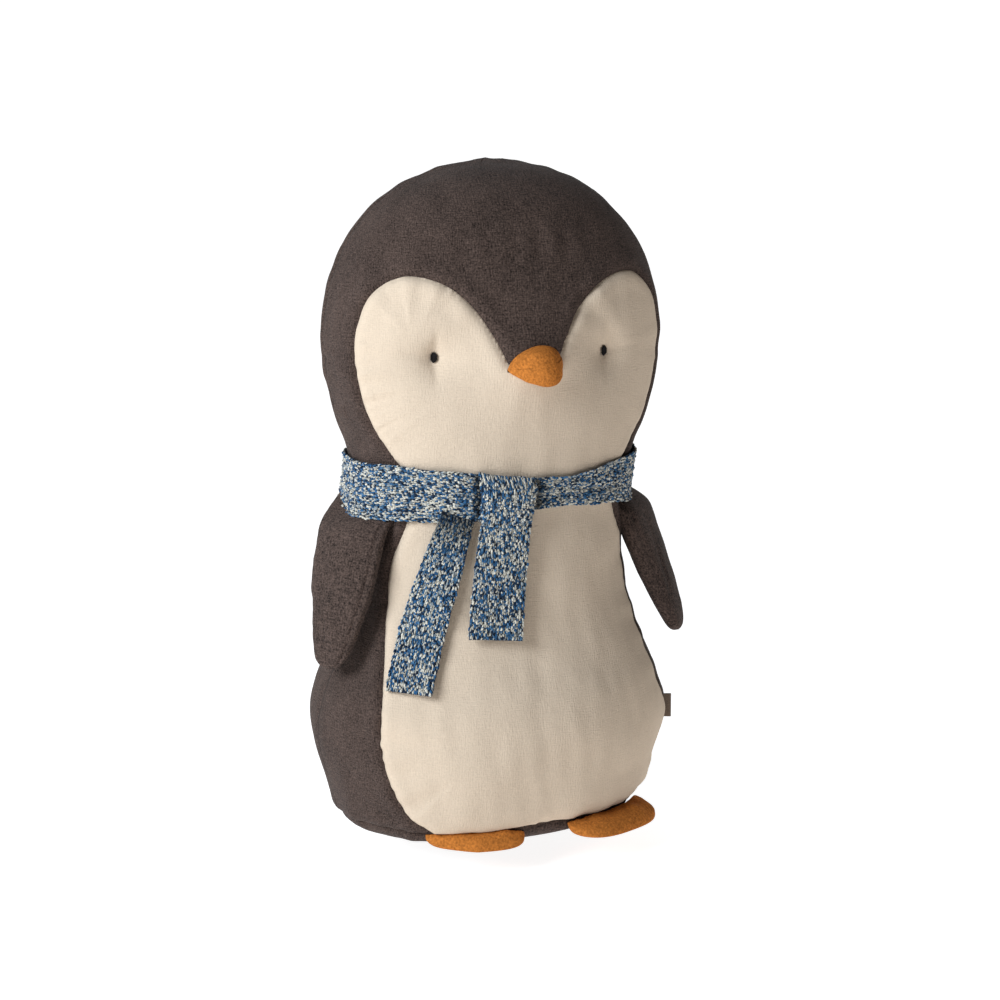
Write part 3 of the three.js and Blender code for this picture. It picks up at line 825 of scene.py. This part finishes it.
def paddle(angles, inset, side):
    """A padded paddle hanging from the origin down -Z. Angles run round its section from edge to edge."""
    outline = even_steps(spline(FLIPPER_WIDTH, 400), 90)
    depths = spline(FLIPPER_DEPTH, 400)
    down = outline[:, 1]
    half_width = np.maximum(outline[:, 0] - inset, 0.0)
    half_depth = np.interp(down, depths[:, 1], depths[:, 0]) * (LEFT_FULLNESS if side > 0 else 1.0)
    half_depth = np.maximum(half_depth - inset, 0.0)
    cosine, sine = np.cos(angles), np.sin(angles)
    tuck = FLIPPER_TUCK * smooth_table([(0, 0), (38, 1)], 14 - down)
    sweep = side * FLIPPER_SWEEP * np.clip(down / 112, 0, 1) ** 2
    if side < 0:
        hanging = smooth_table([(5, 0), (40, 1)], down)
        sweep = sweep - 2.0 + RIGHT_FORWARD * hanging
        tuck = tuck - RIGHT_OUTWARD * hanging
    x = half_width[:, None] * signed_power(cosine, 0.92)
    y = -half_depth[:, None] * signed_power(sine, 0.8)
    z = np.repeat(-down[:, None], len(angles), axis=1)
    points = np.stack([x + sweep[:, None], y + tuck[:, None], z], axis=-1).reshape(-1, 3)
    if inset:
        return points
    outward = unit(np.stack([x, 3 * y, np.zeros_like(x)], axis=-1).reshape(-1, 3))
    seam_x = half_width[:, None] * math.cos(FLIPPER_SEAM) ** 0.92
    seam_y = -half_depth[:, None] * math.sin(FLIPPER_SEAM) ** 0.8
    edge = np.hypot(np.abs(x) - seam_x, y - seam_y).ravel()
    valley = -1.3 * np.exp(-((edge / 1.6) ** 2))
    puckers = 0.35 * ripple(points * [0.2, 0.2, 1.0], 8, 41 + side) * np.exp(-edge / 3)
    lumps = 0.5 * ripple(points, 46, 43 + side) + 0.15 * ripple(points, 17, 45 + side)
    crease = -1.5 * bell((points[:, 0] + 12 * side) / 3.2) * bell((points[:, 2] + 58) / 34) * (side > 0)
    return points + outward * (valley + puckers + lumps + crease)[:, None]


def build_flipper(side, suffix):
    place = flipper_place(side)
    body = "flipper_" + suffix
    rows, columns = 90, 33
    far_seam = math.pi - FLIPPER_SEAM
    parts = [("_outer", FLIPPER_SEAM, far_seam), ("_inner", far_seam, 2 * math.pi + FLIPPER_SEAM)]
    for part, first, last in parts:
        points = paddle(np.linspace(first, last, columns), 0.0, side)
        piece = make_piece(body + part + "_cloth", moved(points, place), grid_faces(rows, columns))
        set_vector(piece, "weave", points[:, [0, 2, 1]])
        stuff_limb(piece, dark_linen, body + part)
    angles = np.linspace(0, 2 * math.pi, 40, endpoint=False)
    points = paddle(angles, FLIPPER_STUFFING_INSET, side)
    piece = make_piece(body + "_stuffing", moved(points, place), grid_faces(rows, len(angles), closed=True))
    stuff_limb(piece, fibre_fill, body + "_filling")


# ---- feet ----

FEET = {
    "left": {"splay": 22.0, "half_width": 43.0, "front": 25.0, "back": 14.0, "aside": -4.0,
             "corners": (0.85, 0.62)},
    "right": {"splay": -12.0, "half_width": 38.0, "front": 20.0, "back": 12.0, "aside": -6.5,
              "corners": (1.6, 0.62)},
}
FOOT_HEIGHT = 15.5
FOOT_EDGE_Z = 4.5
FOOT_SEAM_Z = 15.5
SOLE_EDGE_Z = 8.0           # highest that the sole's own rim curls up
FOOT_STUFFING_INSET = 2.6


def under_bag(points):
    """The height at which the bag's underside lies above each place, or a large height beyond it."""
    heights = np.arange(0.0, 60.0, 0.5)
    width = half_width_at(heights)
    depth = width * smooth_table(FRONT_DEPTH, heights)
    across, ahead = np.abs(points[:, :1]) / width, np.abs(points[:, 1:2]) / depth
    inside = across**SECTION_POWER + ahead**SECTION_POWER < 1
    return np.where(inside.any(axis=1), heights[inside.argmax(axis=1)], 1e3)


def foot_surface(foot, place, top, inset=0.0):
    """The upper or lower cloth of a foot: a padded half-round sewn to the seam above it."""
    rings, spokes = 26, 72
    share = np.linspace(0.0, 1.0, rings) ** 0.8
    angle = np.linspace(0, 2 * math.pi, spokes, endpoint=False)
    r, a = np.meshgrid(share, angle, indexing="ij")
    corner = np.where(np.cos(a) < 0, *foot["corners"])
    cosine, sine = signed_power(np.cos(a), corner), signed_power(np.sin(a), corner)
    x = (foot["half_width"] - inset) * r * cosine
    length = np.where(sine < 0, foot["front"], foot["back"]) - inset
    y = length * r * sine
    rise = np.clip((y + foot["front"]) / (foot["front"] + 6), 0, 1) ** 1.3
    edge_z = FOOT_EDGE_Z + (FOOT_SEAM_Z - FOOT_EDGE_Z) * rise
    x = x * (1 - 0.10 * np.clip(y / foot["back"], 0, 1)) + foot["aside"]
    fullness = np.maximum(1 - r**3.4, 0) ** 0.6
    if top:
        z = edge_z + (FOOT_HEIGHT - inset - edge_z) * fullness
    else:
        low_edge = np.minimum(edge_z, SOLE_EDGE_Z)
        z = low_edge * (1 - fullness) + inset * fullness + (edge_z - low_edge) * r**8
    points = np.stack([x, y, z], axis=-1).reshape(-1, 3)
    if not inset:
        near_edge = 1 - r.ravel()
        from_middle = np.stack([x - foot["aside"], y, np.zeros_like(x)], axis=-1).reshape(-1, 3)
        outward = unit(from_middle + [1e-6, 0, 0])
        points -= outward * (1.3 * np.exp(-((near_edge / 0.03) ** 2)))[:, None]
        wrinkles = 0.6 * ripple(points * [1.0, 0.35, 0.3], 15, 51) + 0.4 * ripple(points, 24, 52)
        points[:, 2] += (wrinkles if top else 0.0) * fullness.ravel()
    world = moved(points, place)
    world[:, 2] = np.minimum(world[:, 2], under_bag(world) - 0.8 - inset)
    world[:, 2] = np.maximum(world[:, 2], 0.05 + inset)
    return world, grid_faces(rings, spokes, closed=True)


def build_foot(suffix):
    foot = FEET[suffix]
    body = "foot_" + suffix
    joint = joints[body + "_flex"]
    pivot = Vector(joint["pos_m"]) / MM
    pivot.z = 0.0
    place = Matrix.Translation(pivot) @ Matrix.Rotation(math.radians(foot["splay"]), 4, "Z")
    for part, top in [("_upper", True), ("_sole", False)]:
        points, faces = foot_surface(foot, place, top)
        piece = make_piece(body + part + "_felt", points, faces if top else faces[:, ::-1])
        stuff_limb(piece, ochre_felt, body + part)
    upper, faces = foot_surface(foot, place, True, FOOT_STUFFING_INSET)
    lower, _ = foot_surface(foot, place, False, FOOT_STUFFING_INSET)
    points, faces = joined([(upper, faces), (lower, faces[:, ::-1])])
    piece = make_piece(body + "_stuffing", points, faces)
    stuff_limb(piece, fibre_fill, body + "_filling")


# ---- scarf ----

WALE = 2.8                  # width of one column of stitches
COURSE = 2.05               # length of one row of stitches
YARN_RADIUS = 0.74
WRAP_WIDTH = 40.0
WRAP_STAND_OFF = 1.4        # of each strip from the bag
KNOT_STAND_OFF = 11.0
KNOT_CURL = 6.5             # how far each strip's long edges turn in
TAIL_CURL = 1.3
MARL = [
    ((0.68, 0.645, 0.555), 0.36), ((0.30, 0.34, 0.36), 0.12), ((0.030, 0.115, 0.250), 0.27),
    ((0.010, 0.026, 0.058), 0.16), ((0.080, 0.185, 0.315), 0.09),
]
# Top and bottom edge of the wrapped part against the angle round the neck in degrees, 0 in front.
WRAP_TOP = [
    (-180, 283), (-60, 284), (-28, 282), (-12, 276), (2, 272.5), (16, 272.5), (35, 277), (62, 283),
    (100, 285), (180, 283),
]
WRAP_LOW = [
    (-180, 244), (-20, 244), (-8, 245), (2, 249), (16, 250.5), (35, 247.5), (62, 244), (100, 244), (180, 244),
]


def knit(name, surface, width, length, seed, facing=1.0, shaded=None):
    """Stocking stitch over a strip: surface(u, v) gives points and outward normals, u across and v along.

    shaded(u, v), if given, is painted shade: the share of its colour that the yarn keeps where it lies in
    shadow."""
    rng = np.random.default_rng(seed)
    wales = max(int(round(width / WALE)), 3)
    courses = int(length / COURSE)
    column, row = np.meshgrid(np.arange(wales), np.arange(courses), indexing="ij")
    column, row = column.ravel(), row.ravel()
    count = len(column)
    wale = width / wales
    steps = np.linspace(0, 1, 5)
    sides = 4
    legs, colours = [], []
    chances = np.array([chance for _, chance in MARL])
    palette = np.array([colour for colour, _ in MARL])
    at_edge = (column == 0) | (column == wales - 1)
    stray = np.where(at_edge, 0.45, 0.16)
    for lean in (-1, 1):
        centre_u = (column + 0.5) * wale - width / 2 + rng.normal(0, stray)
        centre_v = (row + 0.5) * COURSE + rng.normal(0, 0.2, count)
        thick = YARN_RADIUS * rng.uniform(0.65, 1.35, count)
        loose = np.where(rng.random(count) < 0.12, rng.uniform(0.3, 1.1, count), 0.0)
        u = centre_u[:, None] + lean * wale * (0.10 + 0.32 * steps)[None]
        v = centre_v[:, None] + COURSE * 1.55 * (steps - 0.5)[None]
        rise = 0.25 + 0.75 * np.sin(math.pi * np.clip(steps * 0.9 + 0.1, 0, 1)) + 0.25 * steps
        lift = thick[:, None] * rise[None] + loose[:, None] * np.sin(math.pi * steps)[None]
        points, normals = surface(u.ravel(), np.clip(v, 0, length).ravel())
        normals = normals.reshape(count, len(steps), 3)
        points = points.reshape(count, len(steps), 3) + facing * normals * lift[..., None]
        ahead = unit(np.gradient(points, axis=1))
        out = unit(normals) * facing
        aside = unit(np.cross(ahead, out))
        taper = np.array([0.45, 0.95, 1.0, 0.95, 0.5])
        radius = thick[:, None] * taper[None]
        angle = (np.arange(sides) + 0.5) * 2 * math.pi / sides
        ring = (np.cos(angle)[None, None, :, None] * aside[:, :, None]
                + np.sin(angle)[None, None, :, None] * out[:, :, None])
        body = points[:, :, None] + ring * radius[:, :, None, None]
        legs.append(body.reshape(-1, 3))
        plies = palette[rng.choice(len(MARL), (count, 2), p=chances)]
        in_first = steps[None, :, None] < rng.uniform(0.2, 1.1, (count, 1, 1))
        shown = np.where(in_first, plies[:, :1], plies[:, 1:])
        shown = shown * rng.uniform(0.75, 1.25, (count, 1, 1))
        # Painted shade: the stitch colour darkened where the yarn lies in shadow.
        if shaded is not None:
            shown = shown * shaded(centre_u, centre_v)[:, None, None]
        colours.append(np.repeat(shown.reshape(-1, 3), sides, axis=0))
    one = grid_faces(len(steps), sides, closed=True)
    shift = np.arange(2 * count) * len(steps) * sides
    faces = (one[None] + shift[:, None, None]).reshape(-1, 4)
    piece = make_piece(name, settle(np.vstack(legs)), faces)
    set_vector(piece, "marl", np.vstack(colours))
    piece.data.materials.append(yarn)
    return piece


def backing(name, surface, width, length, nodes):
    """The strip of cloth that the stitches belong to. Its dark navy is partly the yarn's own colour and
    partly painted shade in the gaps between stitches.
    """
    columns, rows = 15, max(int(length / 4), 8)
    u = np.tile(np.linspace(-width / 2, width / 2, columns), rows)
    v = np.repeat(np.linspace(0, length, rows), columns)
    points, _ = surface(u, v)
    piece = make_piece(name, settle(points), grid_faces(rows, columns))
    rng = np.random.default_rng(7)
    # Painted shade: the strip's dark navy, seen in the gaps between stitches, stands for the shadowed yarn
    # there.
    tone = np.array([0.030, 0.050, 0.085]) * rng.uniform(0.7, 1.3, (len(points), 1))
    set_vector(piece, "marl", tone)
    piece.data.materials.append(yarn)
    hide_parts(*nodes)
    return piece


def table_linear(table, value):
    return np.interp(value, [row[0] for row in table], [row[1] for row in table])


def wrap_surface_at(stand_off):
    """The wrapped part as a band round the neck, one turn long."""
    z_mid = np.full(721, 263.0)
    phi_fine = np.linspace(-math.pi, math.pi, 721)
    along_mid = np.interp(z_mid, PROFILE[:, 1], PROFILE_ALONG)
    ring = bag_point(phi_fine, along_mid)
    reach = np.concatenate([[0], np.cumsum(np.linalg.norm(np.diff(ring, axis=0), axis=1))])

    def surface(u, v):
        phi = np.interp(v, reach, phi_fine)
        degrees = np.degrees(phi)
        high, low = table_linear(WRAP_TOP, degrees), table_linear(WRAP_LOW, degrees)
        share = u / WRAP_WIDTH + 0.5
        wave = 0.9 * np.sin(3 * phi + 0.7) + 0.7 * np.sin(7 * phi + 2.0)
        z = low + (high - low) * share + wave
        along = np.interp(z, PROFILE[:, 1], PROFILE_ALONG)
        gathered = WRAP_WIDTH / np.maximum(high - low, 10)
        points = bag_point(phi, along)
        normals = bag_normal(phi, along)
        fold = 1.1 * (gathered - 1) * (1 + np.sin(share * 4 * math.pi))
        crease_share = np.interp(degrees, [0, 12, 60], [0.85, 0.62, 0.18])
        fold = fold - 2.4 * bell((share - crease_share) / 0.08) * bell((degrees - 20) / 19)
        edge = 0.9 * np.abs(2 * share - 1) ** 6
        cinched = -1.6 * bell((degrees + 10) / 16)
        over_shoulder = np.interp(np.abs(degrees), [45, 80, 115, 150], [0, 1, 1, 0.3])
        draped = over_shoulder * 10 * np.clip(1 - share, 0, 1) ** 0.8
        off = stand_off + fold + edge + cinched + draped + 0.5 * ripple(points, 38, 61)
        return points + normals * off[:, None], normals

    return surface, reach[-1]


def hanging_surface(shape, stand_off, curl):
    """A strip that hangs down the front from a top point to an end point."""
    start = np.array([shape["top_x"], shape["top_z"]], float)
    end = np.array([shape["end_x"], shape["end_z"]], float)
    length = float(np.linalg.norm(end - start))
    down = (end - start) / length
    full = shape["width"]

    def surface(u, v):
        share = np.clip(v / length, 0, 1)
        x = start[0] + down[0] * v
        z = start[1] + down[1] * v
        normal = front_normal(x, z)
        across = np.stack([-down[1] * np.ones_like(x), np.zeros_like(x), np.full_like(x, down[0])], axis=1)
        across = unit(across - normal * np.sum(across * normal, axis=1, keepdims=True))
        narrow = table_linear(shape["narrowing"], share)
        side = 2 * u / full
        bow = shape["bow"] * np.sin(math.pi * share)
        off = stand_off + table_linear(shape["lift"], share) - curl * np.abs(side) ** 5
        off = off + 0.5 * np.sin(v / 11.0 + shape["phase"]) + 0.35 * np.sin(v / 5.3 + 2 * side)
        points = front_point(x, z) + normal * off[:, None] + across * (u * narrow + bow)[:, None]
        return points, normal

    return surface, length


KNOT = {
    "top_x": -15.5, "top_z": 276.5, "end_x": -20.0, "end_z": 241.0, "width": 41.0, "bow": 0.0, "phase": 0.4,
    "narrowing": [(0, 1.04), (0.3, 1.0), (1, 0.94)],
    "lift": [(0, -6.5), (0.14, 0.5), (0.5, 2.0), (0.85, 1.0), (1, -1.0)],
}
FRONT_TAIL = {
    "top_x": -19.3, "top_z": 247.0, "end_x": -32.0, "end_z": 157.0, "width": 40.0, "bow": 0.0, "phase": 1.0,
    "narrowing": [(0, 0.90), (0.3, 0.96), (1, 1.0)],
    "lift": [(0, 1.0), (0.12, 1.5), (0.5, 0.8), (1, 0)],
}
SIDE_TAIL = {
    "top_x": -52.0, "top_z": 248.0, "end_x": -93.0, "end_z": 121.0, "width": 35.0, "bow": 1.5, "phase": 2.0,
    "narrowing": [(0, 0.66), (0.25, 0.84), (0.6, 0.97), (1, 1.0)],
    "lift": [(0, -1.5), (0.15, 0.5), (0.5, 0.8), (1, 0)],
}
# The knot's two sides, where the wrap beside it lies in shade.
KNOT_LEFT_X = -38.5
KNOT_RIGHT_X = 5.5


def build_scarf():
    surface, length = wrap_surface_at(WRAP_STAND_OFF)

    # Painted shade: the wrap's stitches darkened along both sides of the knot, as the knot's cast shadow.
    def painted_shade_beside_knot(u, v):
        x = settle(surface(u, v)[0])[:, 0]
        ahead = np.abs(v / length - 0.5) < 0.25
        edges = bell((x - KNOT_LEFT_X) / 3.5) + bell((x - KNOT_RIGHT_X) / 4.5)
        return 1 - 0.72 * edges * ahead

    band = backing("scarf_wrap_strip", surface, WRAP_WIDTH, length, ["scarf_wrap"])
    stitches = knit("scarf_wrap_stitches", surface, WRAP_WIDTH, length, 71, shaded=painted_shade_beside_knot)
    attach(band, "torso")
    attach(stitches, "torso")

    surface, length = hanging_surface(KNOT, KNOT_STAND_OFF, KNOT_CURL)
    knot = backing("scarf_knot_strip", surface, KNOT["width"], length, ["scarf_knot"])
    stitches = knit("scarf_knot_stitches", surface, KNOT["width"], length, 72)
    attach(knot, "torso")
    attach(stitches, "torso")

    # Painted shade: the side tail's stitches darkened near its top, where it tucks under the band.
    def painted_shade_under_band(u, v):
        return 1 - 0.75 * bell(v / 22)

    tails = [
        ("front", FRONT_TAIL, 7.0, 73, "scarf_tail_front_swing", None),
        ("side", SIDE_TAIL, 5.0, 74, "scarf_tail_side_swing", painted_shade_under_band),
    ]
    for name, shape, stand_off, seed, joint, shaded in tails:
        surface, length = hanging_surface(shape, stand_off, TAIL_CURL)
        width, tail = shape["width"], f"scarf_{name}_tail"
        strip = backing(tail + "_strip", surface, width, length, ["scarf_tail_" + name])
        outer = knit(tail + "_stitches", surface, width, length, seed, shaded=shaded)
        inner = knit(tail + "_inner_stitches", surface, width, length, seed + 10, facing=-1.0)
        for piece in (strip, outer, inner):
            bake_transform(piece)


# ---- side label ----

LABEL = {"z": 80.0, "height": 18.0, "reach": 7.5}


def build_label():
    """A plain folded tape whose two ends are sewn into the side seam."""
    edge = belly_loop[np.argmin(np.abs(belly_loop[:260, 1] - LABEL["z"])), 0]
    foot = front_point(edge, LABEL["z"])
    out = front_normal(edge, LABEL["z"])
    out = unit(out * [1, 1, 0])
    aside = np.array([-out[1], out[0], 0])
    reach, half = LABEL["reach"], 0.9
    path = [(-2.5, -half), (reach * 0.5, -half * 1.1), (reach - 1, -half * 0.9), (reach, 0),
            (reach - 1, half * 0.9), (reach * 0.5, half * 1.1), (-2.5, half)]
    curve = even_steps(spline(path, 120), 40)
    heights = np.linspace(-LABEL["height"] / 2, LABEL["height"] / 2, 25)
    points = []
    for z in heights:
        bend = 0.5 * math.sin(z / 5.0)
        for forward, side in curve:
            points.append(foot + out * forward + aside * (side + bend * max(forward, 0) / reach) + [0, 0, z])
    piece = make_piece("side_label_tape", settle(np.array(points)), grid_faces(len(heights), len(curve)))
    dress(piece, woven_tape, ["side_label"], body="label")


# ---- floor, light and camera ----

CAMERA = {"azimuth": 24.0, "distance": 1.628, "height": 0.547, "pitch": 10.54, "aside": 0.009, "lens": 78.95}
FLOOR_GLOW = 0.88
WORLD_COLOUR = (1.0, 0.995, 0.985, 1.0)
WORLD_LIGHT = 0.08          # strength that lights the toy; straight to the camera the world is 1 brighter


def build_floor():
    """A pale floor that curves up into a backdrop far behind."""
    path = [(-6.0, 0.0), (2.5, 0.0), (3.6, 0.25), (4.2, 1.0), (4.4, 2.2), (4.4, 5.0)]
    curve = even_steps(spline(path, 200), 80) / MM
    across = np.linspace(-7.0, 7.0, 12) / MM
    points = [(x, y, z) for y, z in curve for x in across]
    floor = make_piece("studio_floor", np.array(points), grid_faces(len(curve), len(across))[:, ::-1])
    turn = math.radians(-CAMERA["azimuth"])
    floor.rotation_euler = (0, 0, turn)
    floor.location = (0, 0, -0.0005)
    material, nodes, links, shader = new_material("studio floor")
    place = nodes.new("ShaderNodeTexCoord")
    grain = noise_at(nodes, links, place.outputs["Object"], (1.0, 1.0, 1.0), 3.0)
    stops = [(0.2, (0.48, 0.48, 0.48)), (0.8, (0.50, 0.50, 0.50))]
    links.new(ramp(nodes, links, grain, stops), shader.inputs["Base Color"])
    shader.inputs["Roughness"].default_value = 0.9
    shader.inputs["Emission Color"].default_value = (1, 1, 1, 1)
    shader.inputs["Emission Strength"].default_value = FLOOR_GLOW
    floor.data.materials.append(material)


def area_light(name, azimuth, elevation, distance, size, power, colour):
    """A square soft box that faces the toy. Azimuth is from the front towards the toy's left."""
    light = bpy.data.lights.new(name, "AREA")
    light.shape = "SQUARE"
    light.size = size
    light.energy = power
    light.color = colour
    lamp = bpy.data.objects.new(name, light)
    a, e = math.radians(azimuth), math.radians(elevation)
    away = Vector((math.sin(a) * math.cos(e), -math.cos(a) * math.cos(e), math.sin(e)))
    lamp.location = Vector((0, 0, 0.25)) + away * distance
    lamp.rotation_euler = (-away).to_track_quat("-Z", "Y").to_euler()
    bpy.context.scene.collection.objects.link(lamp)


def build_studio():
    build_floor()
    area_light("key", azimuth=-71, elevation=26, distance=1.9, size=0.9, power=41.0, colour=(0.84, 0.92, 1.0))
    world = bpy.data.worlds.new("studio")
    world.use_nodes = True
    nodes, links = world.node_tree.nodes, world.node_tree.links
    nodes["Background"].inputs["Color"].default_value = WORLD_COLOUR
    path = nodes.new("ShaderNodeLightPath")
    strength = weighted(nodes, links, [(path.outputs["Is Camera Ray"], 1.0)])
    strength.node.inputs[2].default_value = WORLD_LIGHT
    links.new(strength, nodes["Background"].inputs["Strength"])
    scene = bpy.context.scene
    scene.world = world
    scene.view_settings.view_transform = "Standard"
    azimuth, pitch = math.radians(CAMERA["azimuth"]), math.radians(CAMERA["pitch"])
    level = math.cos(pitch)
    ahead = Vector((math.sin(azimuth) * level, math.cos(azimuth) * level, -math.sin(pitch)))
    right = Vector((math.cos(azimuth), -math.sin(azimuth), 0))
    camera = bpy.data.objects.new("camera", bpy.data.cameras.new("camera"))
    camera.data.lens = CAMERA["lens"]
    camera.data.sensor_width = 36.0
    away = Vector((-math.sin(azimuth), -math.cos(azimuth), 0)) * CAMERA["distance"]
    camera.location = away + Vector((0, 0, CAMERA["height"])) + right * CAMERA["aside"]
    camera.rotation_euler = ahead.to_track_quat("-Z", "Y").to_euler()
    scene.collection.objects.link(camera)
    scene.camera = camera


build_bag()
build_eyes()
build_beak()
build_flipper(1, "left")
build_flipper(-1, "right")
build_foot("left")
build_foot("right")
build_scarf()
build_label()
build_studio()
